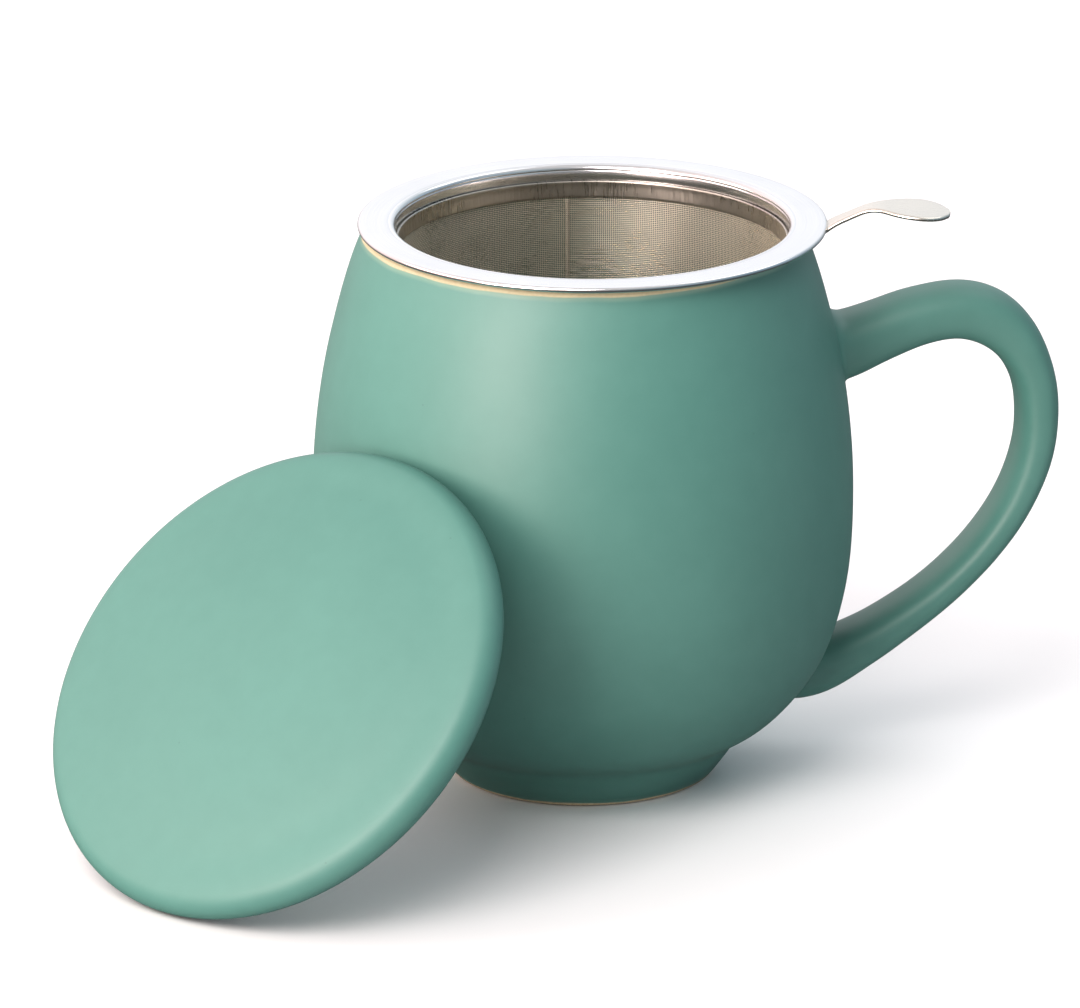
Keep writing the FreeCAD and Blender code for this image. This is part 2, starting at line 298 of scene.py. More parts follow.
def glaze(name, kind):
    """Matt stoneware glaze; kind says where the bare clay shows."""
    m, nt, bsdf, co = new_mat(name)
    big = noise(nt, co, 38.0, 3.0, 0.5)
    mid = noise(nt, co, 260.0, 4.0, 0.6)
    fine = noise(nt, co, 1500.0, 3.0, 0.6)
    tone = math_node(nt, "ADD", math_node(nt, "MULTIPLY", big.outputs["Fac"], 0.55),
                     math_node(nt, "MULTIPLY", mid.outputs["Fac"], 0.45))
    col = ramp(nt, tone, [(0.30, GREEN_DEEP), (0.5, GREEN), (0.70, GREEN_PALE)]).outputs["Color"]
    # sparse pin marks in the glaze
    v = nt.nodes.new("ShaderNodeTexVoronoi")
    v.inputs["Scale"].default_value = 330.0
    v.inputs["Randomness"].default_value = 1.0
    nt.links.new(co.outputs["Object"], v.inputs["Vector"])
    cell = nt.nodes.new("ShaderNodeSeparateColor")
    nt.links.new(v.outputs["Color"], cell.inputs[0])
    pin = math_node(nt, "MULTIPLY", smooth(nt, v.outputs["Distance"], 0.03, 0.09, 1.0, 0.0),
                    smooth(nt, cell.outputs[0], 0.82, 0.90))
    col = mix_color(nt, math_node(nt, "MULTIPLY", pin, 0.40), col, (0.030, 0.095, 0.082))
    if kind == "lid":
        # height along the lid's own axis
        tip, way = math.radians(90 - LID_EL), math.radians(LID_AZ)
        axis = (math.sin(tip) * math.cos(way), math.sin(tip) * math.sin(way), math.cos(tip))
        along = nt.nodes.new("ShaderNodeVectorMath")
        along.operation = "DOT_PRODUCT"
        nt.links.new(co.outputs["Object"], along.inputs[0])
        along.inputs[1].default_value = axis
        z = math_node(nt, "MULTIPLY_ADD", along.outputs["Value"], 1000.0, -sum(a * c for a, c in zip(axis, LID_C)))
    else:
        sep = nt.nodes.new("ShaderNodeSeparateXYZ")
        nt.links.new(co.outputs["Object"], sep.inputs[0])
        z = math_node(nt, "MULTIPLY", sep.outputs["Z"], 1000.0)
    waver = math_node(nt, "MULTIPLY", math_node(nt, "SUBTRACT", noise(nt, co, 90.0, 2.0).outputs["Fac"], 0.5), 0.7)
    z = math_node(nt, "ADD", z, waver)
    bare = None
    if kind == "mug":
        lip = smooth(nt, z, 95.25, 95.55)
        foot = smooth(nt, z, 0.35, 0.6, 1.0, 0.0)
        thin = smooth(nt, z, 94.4, 95.3)
        thin_foot = smooth(nt, z, 0.5, 1.6, 1.0, 0.0)
        col = mix_color(nt, math_node(nt, "MULTIPLY", thin, 0.35), col, (0.26, 0.36, 0.27))
        col = mix_color(nt, math_node(nt, "MULTIPLY", thin_foot, 0.35), col, (0.10, 0.20, 0.16))
        clay = ramp(nt, fine.outputs["Fac"], [(0.3, (0.35, 0.315, 0.195)), (0.7, CREAM)]).outputs["Color"]
        col = mix_color(nt, lip, col, clay)
        clay2 = ramp(nt, fine.outputs["Fac"], [(0.3, (0.30, 0.25, 0.16)), (0.7, CLAY)]).outputs["Color"]
        col = mix_color(nt, foot, col, clay2)
        bare = math_node(nt, "MAXIMUM", lip, foot)
    if kind == "lid":
        # only the foot of the ring is bare
        under = smooth(nt, z, -6.75, -6.35, 1.0, 0.0)
        clay = ramp(nt, fine.outputs["Fac"], [(0.3, (0.35, 0.315, 0.195)), (0.7, CREAM)]).outputs["Color"]
        col = mix_color(nt, under, col, clay)
        bare = under
    nt.links.new(col, bsdf.inputs["Base Color"])
    rough = smooth(nt, big.outputs["Fac"], 0.3, 0.7, 0.49, 0.55)
    if bare is not None:
        m2 = nt.nodes.new("ShaderNodeMix")
        m2.data_type = "FLOAT"
        nt.links.new(bare, m2.inputs[0])
        nt.links.new(rough, m2.inputs[2])
        m2.inputs[3].default_value = 0.85
        rough = m2.outputs[0]
    nt.links.new(rough, bsdf.inputs["Roughness"])
    bsdf.inputs["IOR"].default_value = 1.6
    bsdf.inputs["Specular IOR Level"].default_value = 0.42
    bsdf.inputs["Coat Weight"].default_value = 0.0
    n1 = bump(nt, fine.outputs["Fac"], 0.13, 0.00005)
    n2 = bump(nt, mid.outputs["Fac"], 0.06, 0.00012, n1)
    n3 = bump(nt, pin, 0.25, -0.00004, n2)
    nt.links.new(n3, bsdf.inputs["Normal"])
    return m


def polar(nt, co, cx, cy):
    """Distance from the infuser's axis, its angle, and z, in metres."""
    sep = nt.nodes.new("ShaderNodeSeparateXYZ")
    nt.links.new(co.outputs["Object"], sep.inputs[0])
    x = math_node(nt, "SUBTRACT", sep.outputs["X"], cx * MM)
    y = math_node(nt, "SUBTRACT", sep.outputs["Y"], cy * MM)
    r = math_node(nt, "SQRT", math_node(nt, "ADD", math_node(nt, "MULTIPLY", x, x), math_node(nt, "MULTIPLY", y, y)))
    a = math_node(nt, "ARCTAN2", y, x)
    return r, a, sep.outputs["Z"]


def steel(name, base, rough_lo, rough_hi, grain, spots=0.0):
    """grain: ring (turned marks), band (upright draw marks) or along (lengthwise polish)."""
    m, nt, bsdf, co = new_mat(name)
    comb = nt.nodes.new("ShaderNodeCombineXYZ")
    if grain in ("ring", "band"):
        r, a, z = polar(nt, co, INF_X, INF_Y)
        if grain == "ring":
            nt.links.new(math_node(nt, "MULTIPLY", r, 9000.0), comb.inputs[0])
            nt.links.new(math_node(nt, "MULTIPLY", a, 1.2), comb.inputs[1])
            nt.links.new(math_node(nt, "MULTIPLY", z, 9000.0), comb.inputs[2])
        else:
            nt.links.new(math_node(nt, "MULTIPLY", a, 95.0), comb.inputs[0])
            nt.links.new(math_node(nt, "MULTIPLY", z, 260.0), comb.inputs[1])
    else:
        c, s = math.cos(math.radians(TAB_AZ)), math.sin(math.radians(TAB_AZ))
        sep = nt.nodes.new("ShaderNodeSeparateXYZ")
        nt.links.new(co.outputs["Object"], sep.inputs[0])
        u = math_node(nt, "ADD", math_node(nt, "MULTIPLY", sep.outputs["X"], c), math_node(nt, "MULTIPLY", sep.outputs["Y"], s))
        w = math_node(nt, "SUBTRACT", math_node(nt, "MULTIPLY", sep.outputs["Y"], c), math_node(nt, "MULTIPLY", sep.outputs["X"], s))
        nt.links.new(math_node(nt, "MULTIPLY", u, 160.0), comb.inputs[0])
        nt.links.new(math_node(nt, "MULTIPLY", w, 6000.0), comb.inputs[1])
        nt.links.new(math_node(nt, "MULTIPLY", sep.outputs["Z"], 6000.0), comb.inputs[2])
    g = nt.nodes.new("ShaderNodeTexNoise")
    g.inputs["Scale"].default_value = 1.0
    g.inputs["Detail"].default_value = 4.0
    g.inputs["Roughness"].default_value = 0.6
    nt.links.new(comb.outputs[0], g.inputs["Vector"])
    cloud = noise(nt, co, 70.0, 3.0, 0.5)
    lo = tuple(0.88 * c for c in base)
    mix = math_node(nt, "ADD", math_node(nt, "MULTIPLY", g.outputs["Fac"], 0.6), math_node(nt, "MULTIPLY", cloud.outputs["Fac"], 0.4))
    col = ramp(nt, mix, [(0.35, lo), (0.65, base)]).outputs["Color"]
    nt.links.new(col, bsdf.inputs["Base Color"])
    bsdf.inputs["Metallic"].default_value = 1.0
    nt.links.new(smooth(nt, mix, 0.35, 0.65, rough_lo, rough_hi), bsdf.inputs["Roughness"])
    n1 = bump(nt, g.outputs["Fac"], 0.10 if grain != "band" else 0.35, 0.00004 if grain != "band" else 0.00012)
    n2 = bump(nt, cloud.outputs["Fac"], 0.12, 0.00025, n1)
    nt.links.new(n2, bsdf.inputs["Normal"])
    return m


MAT_MUG = glaze("glaze_mug", "mug")
MAT_HANDLE = glaze("glaze_handle", "handle")
MAT_LID = glaze("glaze_lid", "lid")
MAT_RIM = steel("steel_rim", (0.755, 0.76, 0.77), 0.14, 0.22, "ring")
MAT_BAND = steel("steel_band", (0.45, 0.425, 0.375), 0.24, 0.36, "band")
MAT_TAB = steel("steel_tab", (0.70, 0.665, 0.60), 0.22, 0.32, "along")
MAT_MESH = steel("steel_mesh", (0.97, 0.92, 0.79), 0.25, 0.34, "along")
# the seam's steel is a darker copy of the cloth's steel: painted shade that tones down the light its wires catch
MAT_SEAM_PAINTED_SHADE = steel("steel_mesh_seam_painted_shade", (0.64, 0.60, 0.51), 0.34, 0.44, "along")

# ------------------------------------------------------------------ mug body
out_spline = Spline(MUG_OUT)
out_pts = out_spline.even(150)
in_pts = Spline(MUG_IN, clamp0=(0, -1), clamp1=(-1, 0)).even(90)
foot_in = chain([(0, RECESS_Z), (9, RECESS_Z), (FOOT_R_IN - 1.6, RECESS_Z)],
                arc_pts((FOOT_R_IN - 1.6, RECESS_Z), (FOOT_R_IN - 0.45, 1.75), (FOOT_R_IN, 0.35), 9),
                arc_pts((FOOT_R_IN, 0.35), (FOOT_R_IN + 0.12, 0.1), (FOOT_R_IN + 0.4, 0), 5),
                [(21.2, 0), (FOOT_R_OUT, 0)],
                arc_pts((FOOT_R_OUT, 0), (FOOT_R_OUT + 0.22, 0.12), MUG_OUT[0], 6))
lip = arc_pts(MUG_OUT[-1], (36.93, 96.35), MUG_IN[0], 15)
prof = chain(foot_in, out_pts, lip, in_pts)
prof[-1, 0] = 0.0
v, f = lathe(prof, 256)
mug = make("mug_body_glazed", v, f, "mug", "mug_body", MAT_MUG, sharp=50)

# radius of the outside by height, for the handle's roots
_zz = out_pts[:, 1]
_rr = out_pts[:, 0]


def wall_r(z):
    return np.interp(z, _zz, _rr)


# ------------------------------------------------------------------ mug handle with filleted roots
hs = Spline([(x, z, t, w) for x, z, t, w in HANDLE])
total = hs.t[-1]
NU = 56
us = np.arange(NU) * 2 * math.pi / NU
ce = np.sign(np.cos(us)) * np.abs(np.cos(us)) ** (2 / HANDLE_POWER)
se = np.sign(np.sin(us)) * np.abs(np.sin(us)) ** (2 / HANDLE_POWER)


def strap(t):
    """Ring of the strap at path length t."""
    a, b = hs(max(t - 0.05, 0))[0], hs(min(t + 0.05, total))[0]
    x, z, th, w = hs(t)[0]
    d = b[:2] - a[:2]
    d /= np.linalg.norm(d)
    nx, nz = -d[1], d[0]
    p, q = th / 2 * ce, w / 2 * se
    return np.stack([x + nx * p, q, z + nz * p], -1), np.array([x, 0, z])


def gap(t, k):
    ring, _ = strap(t)
    p = ring[k]
    return math.hypot(p[0], p[1]) - float(wall_r(p[2]))


def crossing(k, inside, outside):
    lo, hi = inside, outside
    for _ in range(30):
        mid = (lo + hi) / 2
        if gap(mid, k) > 0:
            hi = mid
        else:
            lo = mid
    return (lo + hi) / 2


def tangent(p, d):
    """Part of d along the wall at p."""
    a = math.atan2(p[1], p[0])
    z = p[2]
    rp = float((wall_r(z + 0.3) - wall_r(z - 0.3)) / 0.6)
    n = np.array([math.cos(a), math.sin(a), -rp])
    n /= np.linalg.norm(n)
    return d - n * (d @ n), n


def on_wall(p, sink=0.0):
    a = math.atan2(p[1], p[0])
    r = float(wall_r(p[2])) - sink
    return np.array([r * math.cos(a), r * math.sin(a), p[2]])


def root(start, out_dir, reach_wall, reach_strap, spread, steps=9):
    """Rings of the fillet from the wall to the strap, and the path length where each strand joins it."""
    far = start + out_dir * 14
    cross = [crossing(k, start, far) for k in range(NU)]
    rings = [[] for _ in range(steps + 1)]
    joins = []
    for k in range(NU):
        tk = cross[k]
        rk, ck = strap(tk)
        p = rk[k]
        tj = tk + out_dir * reach_strap * spread[k]
        s = strap(tj)[0][k]
        joins.append(tj)
        d, n = tangent(p, p - ck)
        d /= np.linalg.norm(d)
        e = on_wall(p + d * reach_wall * spread[k], 0.02)
        for i in range(steps + 1):
            u = i / steps
            b = (1 - u) ** 2 * e + 2 * u * (1 - u) * p + u * u * s
            rings[i].append(b)
    return rings, joins


top_rings, top_join = root(0.0, 1, 3.0, 3.4, 0.42 + 0.13 * ce + 0.45 * np.maximum(ce, 0) ** 2)
low_rings, low_join = root(total, -1, 1.7, 2.0, 0.6 + 0.25 * ce + 0.15 * np.maximum(ce, 0) ** 2)
rows = [np.array(r) for r in top_rings]
NV = 150
ts = np.linspace(0, 1, NV)
tj, lj = np.array(top_join), np.array(low_join)
for u in ts[1:-1]:
    ring = np.empty((NU, 3))
    for k in range(NU):
        ring[k] = strap(tj[k] + (lj[k] - tj[k]) * u)[0][k]
    rows.append(ring)
rows += [np.array(r) for r in reversed(low_rings)]
verts = np.concatenate(rows)
faces = []
for i in range(len(rows) - 1):
    for k in range(NU):
        k2 = (k + 1) % NU
        faces.append([i * NU + k, i * NU + k2, (i + 1) * NU + k2, (i + 1) * NU + k])
# a buried cap closes each root just below the wall
for ring_i in (0, len(rows) - 1):
    ring = rows[ring_i]
    c = ring.mean(axis=0)
    c = on_wall(c, 1.2)
    base = len(verts)
    mid = []
    for k in range(NU):
        q = on_wall(ring[k] + (c - ring[k]) * 0.12, 0.6)
        mid.append(q)
    verts = np.concatenate([verts, np.array(mid), c[None]])
    for k in range(NU):
        k2 = (k + 1) % NU
        faces.append([ring_i * NU + k, ring_i * NU + k2, base + k2, base + k])
        faces.append([base + k, base + k2, base + NU])
handle = make("mug_handle_glazed", verts, faces, "mug", "mug_handle", MAT_HANDLE, sharp=55)

# ------------------------------------------------------------------ lid
rc, e = LID_R - LID_EDGE_R, LID_EDGE_R
k = 0.3
pk = (rc + e * math.sin(k), e * math.cos(k))
top = [(0, e + LID_RISE), (8, e + LID_RISE - 0.13), (16, e + LID_RISE - 0.56), (24, e + LID_RISE - 1.35),
       (31, e + LID_RISE - 2.42), (36, e + LID_RISE - 3.42), pk]
dome = Spline(top, clamp0=(1, 0), clamp1=(math.cos(k), -math.sin(k))).even(46)
under = Spline([(RING_RI - 0.4, -e - 0.2), (RING_RI - 3.0, -1.2), (16, 1.9), (0, 3.3)],
               clamp0=(-0.3, 1), clamp1=(-1, 0)).even(24)
lid_prof = chain(dome, arc_pts(pk, (rc + e, 0), (rc, -e), 26)[:, :],
                 [(rc - 2.5, -e), (RING_RO + 0.6, -e)],
                 arc_pts((RING_RO + 0.6, -e), (RING_RO + 0.18, -e - 0.18), (RING_RO, -e - 0.6), 5),
                 [(RING_RO - 0.25, -e - RING_H + 0.8)],
                 arc_pts((RING_RO - 0.25, -e - RING_H + 0.8), ((RING_RO + RING_RI) / 2, -e - RING_H),
                         (RING_RI + 0.35, -e - RING_H + 0.8), 9),
                 under)
lid_prof[0, 0] = lid_prof[-1, 0] = 0.0
v, f = lathe(lid_prof, 256)
az, tilt = math.radians(LID_AZ), math.radians(90 - LID_EL)
place = Matrix.Translation(Vector(LID_C) * MM) @ Matrix.Rotation(az, 4, "Z") @ Matrix.Rotation(tilt, 4, "Y")
me = bpy.data.meshes.new("lid_glazed")
me.from_pydata([tuple(place @ Vector(p)) for p in v * MM], [], [tuple(int(i) for i in q) for q in f])
me.validate()
import bmesh
bm = bmesh.new()
bm.from_mesh(me)
bmesh.ops.recalc_face_normals(bm, faces=bm.faces)
bm.to_mesh(me)
bm.free()
me.shade_smooth()
me.set_sharp_from_angle(angle=math.radians(50))
me.materials.append(MAT_LID)
lid = bpy.data.objects.new("lid_glazed", me)
bpy.context.scene.collection.objects.link(lid)
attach(lid, "lid")
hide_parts("lid")

# ------------------------------------------------------------------ infuser rim
FT, HR = 97.6, 0.475
hr, hz, ri, z0 = 40.0 - HR, 97.6 - HR, 34.5, 97.1
bo = ri - 34.0
sq = math.sqrt(0.5)
# a fine pressed line at each end of the bend
rim_prof = chain([(34.62, FT - 0.05), (34.72, FT - 0.075), (34.82, FT - 0.05), (34.92, FT - 0.01), (35.0, FT),
                  (36.0, FT), (38.2, FT), (hr, FT)],
                 arc_pts((hr, FT), (40.0, hz), (hr, hz - HR), 13),
                 arc_pts((hr, hz - HR), (hr - 0.42, hz - 0.28), (hr - 0.55, z0), 6),
                 [(37.0, z0), (ri, z0)],
                 arc_pts((ri, z0), (ri - bo * sq, z0 - bo + bo * sq), (34.0, z0 - bo), 6),
                 [(34.0, 94.5), (34.0, 92.4), (33.6, 92.4), (33.6, 94.6), (33.6, 95.6), (33.6, 96.45), (33.64, 96.56),
                  (33.7, 96.64), (33.68, 96.72), (33.62, 96.8)],
                 arc_pts((33.62, 96.86), (ri - 0.9 * sq, 96.7 + 0.9 * sq), (ri, FT - 0.012), 10))
v, f = lathe(rim_prof, 320, closed=True)
make("infuser_rim_polished", shift(v), f, "infuser", "infuser_rim", MAT_RIM, sharp=40)

# ------------------------------------------------------------------ clamp band, pressed with upright creases
SEG = 960
ang = np.arange(SEG) * 2 * math.pi / SEG
crease = np.zeros(SEG)
for _ in range(420):
    c0, wd, dp = rng.uniform(0, 2 * math.pi), rng.uniform(0.003, 0.008), rng.uniform(0.006, 0.030)
    d = (ang - c0 + math.pi) % (2 * math.pi) - math.pi
    crease += dp * np.exp(-(d / wd) ** 2)
wave = np.zeros(SEG)
for n in range(2, 9):
    wave += rng.uniform(0.004, 0.014) * np.cos(n * ang + rng.uniform(0, 2 * math.pi))
ragged = np.zeros(SEG)
for n in range(18, 60, 5):
    ragged += rng.uniform(0.004, 0.018) * np.cos(n * ang + rng.uniform(0, 2 * math.pi))


def band_change(r, z, th):
    mid = np.clip((z - 91.95) / 0.5, 0, 1) * np.clip((94.45 - z) / 0.4, 0, 1)
    inner = (r < 33.2)
    rr = r + np.where(inner, np.minimum(crease * mid, 0.1) + wave * mid, 0)
    zz = z + np.where(z < 92.2, ragged * 1.2, 0)
    return rr, zz


band_in = [(33.34, 94.9), (33.13, 94.9), (33.07, 94.88), (33.03, 94.82), (33.02, 94.7), (33.03, 94.4),
           (33.045, 94.2), (33.04, 93.8), (33.02, 93.3), (33.0, 92.8), (32.99, 92.4), (32.99, 92.1), (33.06, 91.93), (33.2, 91.9)]
band_prof = chain(band_in, [(33.34, 91.92), (33.34, 93.4)])
v, f = lathe(band_prof, SEG, closed=True, change=band_change)
make("infuser_clamp_band_crimped", shift(v), f, "infuser", "infuser_clamp_band", MAT_BAND, sharp=60)

# ------------------------------------------------------------------ woven cloth
N_UP, N_ROW = 620, 186
R_CLOTH, Z_LO, Z_HI = 33.47, 31.25, 94.3
WR = 0.079                       # wire radius
rows_z = np.linspace(Z_LO, Z_HI, N_ROW)
up_a = np.arange(N_UP) * 2 * math.pi / N_UP
TRI = np.array([0.0, 2 * math.pi / 3, 4 * math.pi / 3])


def prism(path, side, up, radius, closed):
    """Three-sided wire along path; side and up are unit vectors at each point."""
    n = len(path)
    vs = []
    for k, t in enumerate(TRI):
        vs.append(path + radius * (math.cos(t) * up + math.sin(t) * side))
    vs = np.stack(vs, 1).reshape(-1, 3)
    fs = []
    m = n if closed else n - 1
    i = np.arange(m)
    j = (i + 1) % n
    for k in range(3):
        k2 = (k + 1) % 3
        fs.append(np.stack([i * 3 + k, j * 3 + k, j * 3 + k2, i * 3 + k2], -1))
    fs = np.concatenate(fs)
    caps = [] if closed else [[0, 1, 2], [(n - 1) * 3 + 2, (n - 1) * 3 + 1, (n - 1) * 3]]
    return vs, fs, caps


def bundle(name, wires, node, mat, body="infuser"):
    """One mesh of many wires."""
    vs, fs, cs, base = [], [], [], 0
    for w in wires:
        a, b, c = w
        vs.append(a)
        fs.append(b + base)
        cs += [[q + base for q in cap] for cap in c]
        base += len(a)
    vs = np.concatenate(vs)
    fs = np.concatenate(fs)
    loops = np.concatenate([fs.ravel(), np.array([q for c in cs for q in c], dtype=np.int64)]) if cs else fs.ravel()
    starts = np.arange(len(fs)) * 4
    if cs:
        starts = np.concatenate([starts, len(fs) * 4 + np.arange(len(cs)) * 3])
    me = bpy.data.meshes.new(name)
    me.vertices.add(len(vs))
    me.vertices.foreach_set("co", (vs * MM).ravel().astype(np.float32))
    me.loops.add(len(loops))
    me.loops.foreach_set("vertex_index", loops.astype(np.int32))
    me.polygons.add(len(starts))
    me.polygons.foreach_set("loop_start", starts.astype(np.int32))
    me.update(calc_edges=True)
    me.validate()
    me.shade_smooth()
    me.materials.append(mat)
    o = bpy.data.objects.new(name, me)
    bpy.context.scene.collection.objects.link(o)
    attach(o, body)
    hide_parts(node)
    return o


def out_of(a):
    return np.stack([np.cos(a), np.sin(a), np.zeros_like(a)], -1)


centre = np.array([INF_X, INF_Y, 0.0])
sign_row = np.where(np.arange(N_ROW) % 2 == 0, 1.0, -1.0)
up_wires = []
for i in range(N_UP):
    a = up_a[i]
    s = sign_row * (1 if i % 2 == 0 else -1)
    r = R_CLOTH + s * WR * 0.95
    rad = np.array([math.cos(a), math.sin(a), 0.0])
    path = centre + r[:, None] * rad + np.array([0, 0, 1.0]) * rows_z[:, None]
    side = np.tile([-math.sin(a), math.cos(a), 0.0], (N_ROW, 1))
    up_wires.append(prism(path, side, np.tile(-rad, (N_ROW, 1)), WR, False))
for q, letter in enumerate("abcd"):
    bundle("cloth_upright_" + letter, up_wires[q * N_UP // 4:(q + 1) * N_UP // 4], "infuser_mesh_wall", MAT_MESH)
ring_wires = []
sgn_up = np.where(np.arange(N_UP) % 2 == 0, 1.0, -1.0)
rad_all = out_of(up_a)
for j in range(N_ROW):
    s = -sgn_up * sign_row[j]
    r = R_CLOTH + s * WR * 0.95
    path = centre + r[:, None] * rad_all + np.array([0, 0, rows_z[j]])
    side = np.tile([0, 0, 1.0], (N_UP, 1))
    ring_wires.append(prism(path, side, -rad_all, WR, True))
for q, letter in enumerate("abcd"):
    bundle("cloth_round_" + letter, ring_wires[q * N_ROW // 4:(q + 1) * N_ROW // 4], "infuser_mesh_wall", MAT_MESH)

# floor cloth: a woven disc
PF = 0.44
RF = 33.2
ZF = 31.0
half_n = int(RF / PF)
for direction in (0, 1):
    wires = []
    for i in range(-half_n, half_n + 1):
        y = i * PF
        span = math.sqrt(max(RF * RF - y * y, 0))
        m = int(span / PF)
        if m < 2:
            continue
        xs = np.arange(-m, m + 1)
        par = np.where((xs + i) % 2 == 0, 1.0, -1.0) * (1 if direction == 0 else -1)
        zz = ZF + par * WR * 0.95
        if direction == 0:
            path = np.stack([xs * PF, np.full(len(xs), y), zz], -1)
            side = np.tile([0, 1.0, 0], (len(xs), 1))
        else:
            path = np.stack([np.full(len(xs), y), xs * PF, zz], -1)
            side = np.tile([1.0, 0, 0], (len(xs), 1))
        wires.append(prism(path + centre, side, np.tile([0, 0, 1.0], (len(xs), 1)), WR, False))
    bundle("floor_cloth_" + "xy"[direction], wires, "infuser_mesh_floor", MAT_MESH)

# seam: the overlapped end of the cloth, three wires wide
seam_wires = []
sa = math.radians(SEAM_AZ)
N_SEAM = 3
# its wires lie over the wall's own wires
k0 = int(round(sa / (2 * math.pi / N_UP)))
aa = up_a[k0 - N_SEAM // 2:k0 + N_SEAM // 2 + 1]
z_s = rows_z[(rows_z > 31.4) & (rows_z < 91.8)]
SR, SW = 33.14, 0.075
for i, a in enumerate(aa):
    rad = np.array([math.cos(a), math.sin(a), 0.0])
    s = np.where((np.arange(len(z_s)) + i) % 2 == 0, 1.0, -1.0)
    r = SR + s * SW * 0.9
    path = centre + r[:, None] * rad + np.array([0, 0, 1.0]) * z_s[:, None]
    side = np.tile([-rad[1], rad[0], 0], (len(z_s), 1))
    seam_wires.append(prism(path, side, np.tile(-rad, (len(z_s), 1)), SW, False))
for j, z in enumerate(z_s):
    s = -np.where((np.arange(N_SEAM) + j) % 2 == 0, 1.0, -1.0)
    r = SR + s * SW * 0.9
    path = centre + r[:, None] * out_of(aa) + np.array([0, 0, z])
    seam_wires.append(prism(path, np.tile([0, 0, 1.0], (N_SEAM, 1)), -out_of(aa), SW, False))
# the seam wires take the darker steel, painted shade over the same cloth metal
bundle("cloth_seam_woven", seam_wires, "infuser_mesh_seam", MAT_SEAM_PAINTED_SHADE)

# ------------------------------------------------------------------ base ring
base_prof = chain([(31.0, 30.4), (32.2, 30.4)], arc_pts((33.45, 30.4), (33.8, 30.55), (33.95, 30.9), 7),
                  [(33.95, 32.4)], arc_pts((33.95, 33.86), (33.9, 33.96), (33.78, 34.0), 5),
                  [(33.62, 34.0), (33.6, 33.0), (33.6, 30.82), (32.2, 30.8), (31.05, 30.8), (30.95, 30.6)])
v, f = lathe(base_prof, 256, closed=True)
make("infuser_base_ring_pressed", shift(v), f, "infuser", "infuser_base_ring", MAT_BAND, sharp=50)

# ------------------------------------------------------------------ thumb tab
ln = Spline(TAB_LINE)
hw = Spline(TAB_HALF)
hw_s, hw_v = hw.even(200)[:, 0], hw.even(200)[:, 1]
NS = 84
tl = np.linspace(0, ln.t[-1] - 0.02, NS)
line_pts = ln(tl)
rows = []
SEC = 6
for i in range(NS):
    s, z = line_pts[i]
    a, b = line_pts[max(i - 1, 0)], line_pts[min(i + 1, NS - 1)]
    d = (b - a) / np.linalg.norm(b - a)
    n = np.array([-d[1], d[0]])
    if s < 60.35:
        w = float(np.interp(s, hw_s, hw_v))
    else:
        w = 2.35 * math.sqrt(max(1 - ((s - 60.35) / 0.54) ** 2, 0.02))
    tt = TAB_T / 2
    ed = min(0.6, w * 0.5)
    prof2 = []
    for c in range(9):                         # right edge
        t = -math.pi / 2 + math.pi * c / 8
        prof2.append((w - ed + ed * math.cos(t), tt * math.sin(t) * (1 if abs(math.sin(t)) > 0.99 else 1)))
    for k in range(1, 8):
        prof2.append(((w - ed) * (1 - 2 * k / 8), tt))
    for c in range(9):
        t = math.pi / 2 + math.pi * c / 8
        prof2.append((-w + ed + ed * math.cos(t), tt * math.sin(t)))
    for k in range(1, 8):
        prof2.append(((w - ed) * (-1 + 2 * k / 8), -tt))
    rows.append([(s + n[0] * q, p, z + n[1] * q) for p, q in prof2])
M = len(rows[0])
verts = np.array([p for r in rows for p in r])
faces = []
for i in range(NS - 1):
    for k in range(M):
        k2 = (k + 1) % M
        faces.append([i * M + k, i * M + k2, (i + 1) * M + k2, (i + 1) * M + k])
faces.append(list(range(M)))
faces.append(list(range((NS - 1) * M, NS * M))[::-1])
make("infuser_tab_bent", shift(verts, TAB_AZ), faces, "infuser", "infuser_tab", MAT_TAB, sharp=60)

# ------------------------------------------------------------------ floor, light and camera
TURN = math.radians(-12.0)       # the photo's own axes, turned so that the handle lies on +X


def turned(x, y, z):
    c, s = math.cos(TURN), math.sin(TURN)
    return Vector((x * c - y * s, x * s + y * c, z))


me = bpy.data.meshes.new("floor")
S = 4.0
me.from_pydata([(-S, -S, -0.0002), (S, -S, -0.0002), (S, S, -0.0002), (-S, S, -0.0002)], [], [(0, 1, 2, 3)])
floor = bpy.data.objects.new("floor", me)
bpy.context.scene.collection.objects.link(floor)
fm, nt, bsdf, co = new_mat("floor_paper")
pn = noise(nt, co, 3.0, 2.0)
nt.links.new(ramp(nt, pn.outputs["Fac"], [(0.3, (0.91, 0.925, 0.94)), (0.7, (0.93, 0.94, 0.95))]).outputs["Color"], bsdf.inputs["Base Color"])
bsdf.inputs["Roughness"].default_value = 0.55
bsdf.inputs["Specular IOR Level"].default_value = 0.3
me.materials.append(fm)

world = bpy.data.worlds.new("studio")
bpy.context.scene.world = world
world.use_nodes = True
wt = world.node_tree
bg = wt.nodes["Background"]
wc = wt.nodes.new("ShaderNodeTexCoord")
wsep = wt.nodes.new("ShaderNodeSeparateXYZ")
wt.links.new(wc.outputs["Generated"], wsep.inputs[0])
above = smooth(wt, wsep.outputs["Z"], -0.55, 0.05)
below = math_node(wt, "SUBTRACT", 1.0, above)


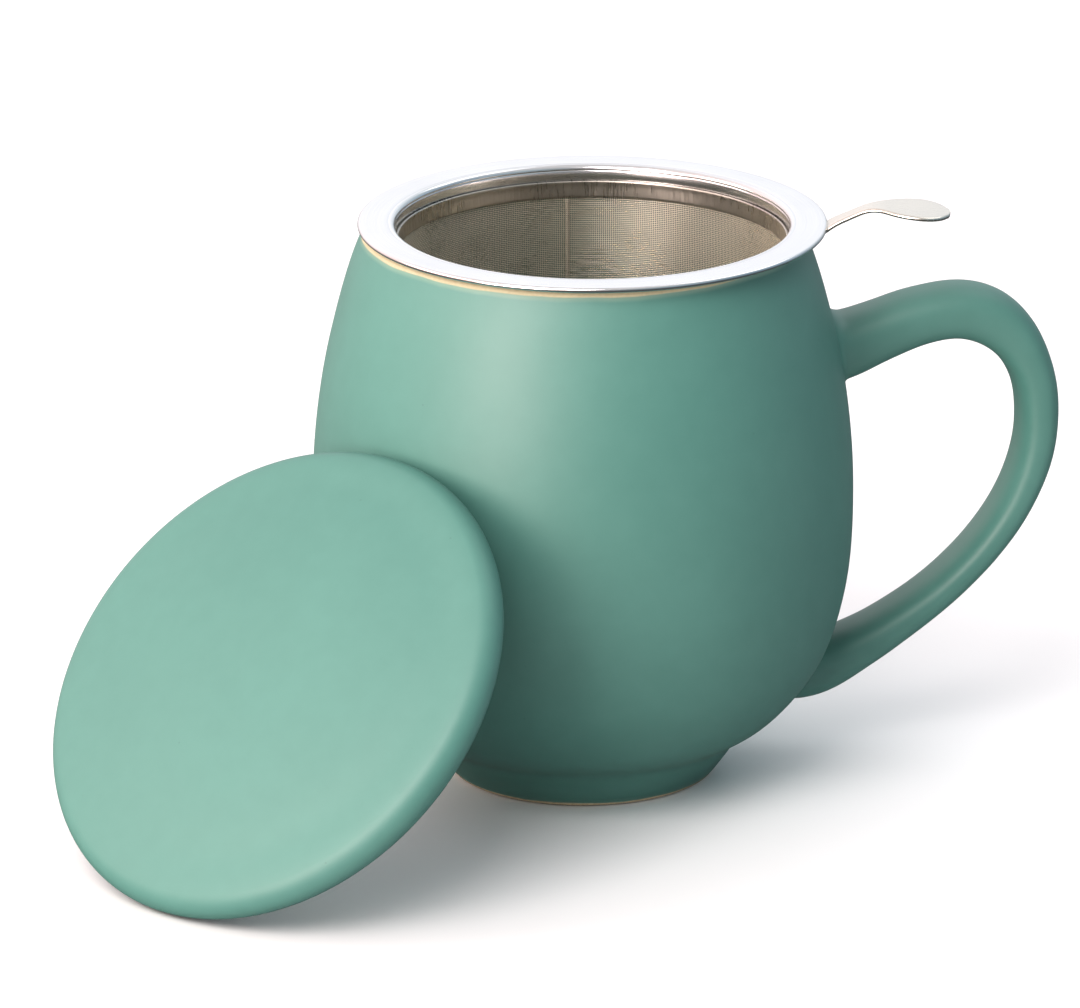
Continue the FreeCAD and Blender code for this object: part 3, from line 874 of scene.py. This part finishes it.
def lobe(direction, power, colour, mask):
    """One soft light of the room: brightest along direction, fading as a power of the cosine."""
    if direction is None:
        lev = mask
    else:
        dot = wt.nodes.new("ShaderNodeVectorMath")
        dot.operation = "DOT_PRODUCT"
        wt.links.new(wc.outputs["Generated"], dot.inputs[0])
        dot.inputs[1].default_value = turned(*direction).normalized()
        lev = math_node(wt, "MULTIPLY", math_node(wt, "POWER", math_node(wt, "MAXIMUM", dot.outputs["Value"], 0.0), power), mask)
    sc = wt.nodes.new("ShaderNodeVectorMath")
    sc.operation = "SCALE"
    sc.inputs[0].default_value = colour
    wt.links.new(lev, sc.inputs["Scale"])
    return sc.outputs[0]


ROOM = [((-1, 0, 0.15), 2.0, (0.78, 0.50, 0.45), above),
        ((0, 0, 1), 2.0, (0.82, 0.79, 0.79), above),
        ((0, 1, 0.32), 6.0, (0.84, 0.86, 0.90), above),
        ((1, 0, 0.1), 2.0, (0.12, 0.20, 0.26), above),
        ((0, -1, 0.2), 2.0, (0.10, 0.11, 0.11), above),
        ((-0.7, -0.7, 0.3), 6.0, (1.20, 0.84, 0.77), above),
        ((0.7, -0.7, 0.35), 6.0, (0.17, 0.23, 0.25), above),
        ((0.7, 0.7, 0.3), 4.0, (0.34, 0.40, 0.44), above),
        ((-0.7, 0.7, 0.3), 4.0, (0.95, 0.86, 0.86), above),
        (None, 0.0, (0.09, 0.09, 0.09), below)]
total_light = None
for spec in ROOM:
    out = lobe(*spec)
    if total_light is None:
        total_light = out
        continue
    add = wt.nodes.new("ShaderNodeVectorMath")
    add.operation = "ADD"
    wt.links.new(total_light, add.inputs[0])
    wt.links.new(out, add.inputs[1])
    total_light = add.outputs[0]
wt.links.new(total_light, bg.inputs["Color"])
bg.inputs["Strength"].default_value = 1.0
floor.visible_diffuse = True
floor.visible_glossy = False


def area(name, pos, size, power, target=(0, 0, 0.05), size_y=None, color=(1, 1, 1)):
    l = bpy.data.lights.new(name, "AREA")
    l.energy = power
    l.color = color
    l.shape = "RECTANGLE"
    l.size = size
    l.size_y = size_y or size
    o = bpy.data.objects.new(name, l)
    bpy.context.scene.collection.objects.link(o)
    p = turned(*pos)
    o.location = p
    o.rotation_euler = (turned(*target) - p).to_track_quat("-Z", "Y").to_euler()
    o.visible_camera = False
    return o


key = area("key_front_left", (-0.80, -1.02, 0.36), 0.75, 21.0, color=(1.0, 0.83, 0.775))
# the low key lights the object only, so the floor keeps the soft shadow of the lights above and behind
key_set = bpy.data.collections.new("key_set")
key_set.objects.link(floor)
key_set.collection_objects[0].light_linking.link_state = "EXCLUDE"
area("front_top", (-0.40, -0.90, 0.95), 0.8, 13.6, color=(1.0, 0.93, 0.90))
area("side_left", (-1.2, -0.1, 0.6), 0.8, 5.6, color=(1.0, 0.90, 0.84))
key.light_linking.receiver_collection = key_set
area("top_right_back", (0.6, 0.5, 1.1), 0.7, 2.3)

cam = bpy.data.cameras.new("camera")
cam_o = bpy.data.objects.new("camera", cam)
bpy.context.scene.collection.objects.link(cam_o)
yaw, pitch, roll = math.radians(-0.2196), math.radians(17.9073), 0.0
fwd = turned(math.sin(yaw) * math.cos(pitch), math.cos(yaw) * math.cos(pitch), -math.sin(pitch))
right = turned(math.cos(yaw), -math.sin(yaw), 0.0)
up = right.cross(fwd)
pos = turned(0.0, -1.92588, 0.66920)
rot = Matrix((right, up, -fwd)).transposed().to_4x4()
cam_o.matrix_world = Matrix.Translation(pos) @ rot
cam.sensor_fit = "HORIZONTAL"
cam.sensor_width = 36.0
cam.lens = 11800.0 * 36.0 / 1080.0
cam.clip_start, cam.clip_end = 0.05, 20.0
bpy.context.scene.camera = cam_o
bpy.context.scene.view_settings.view_transform = "Standard"
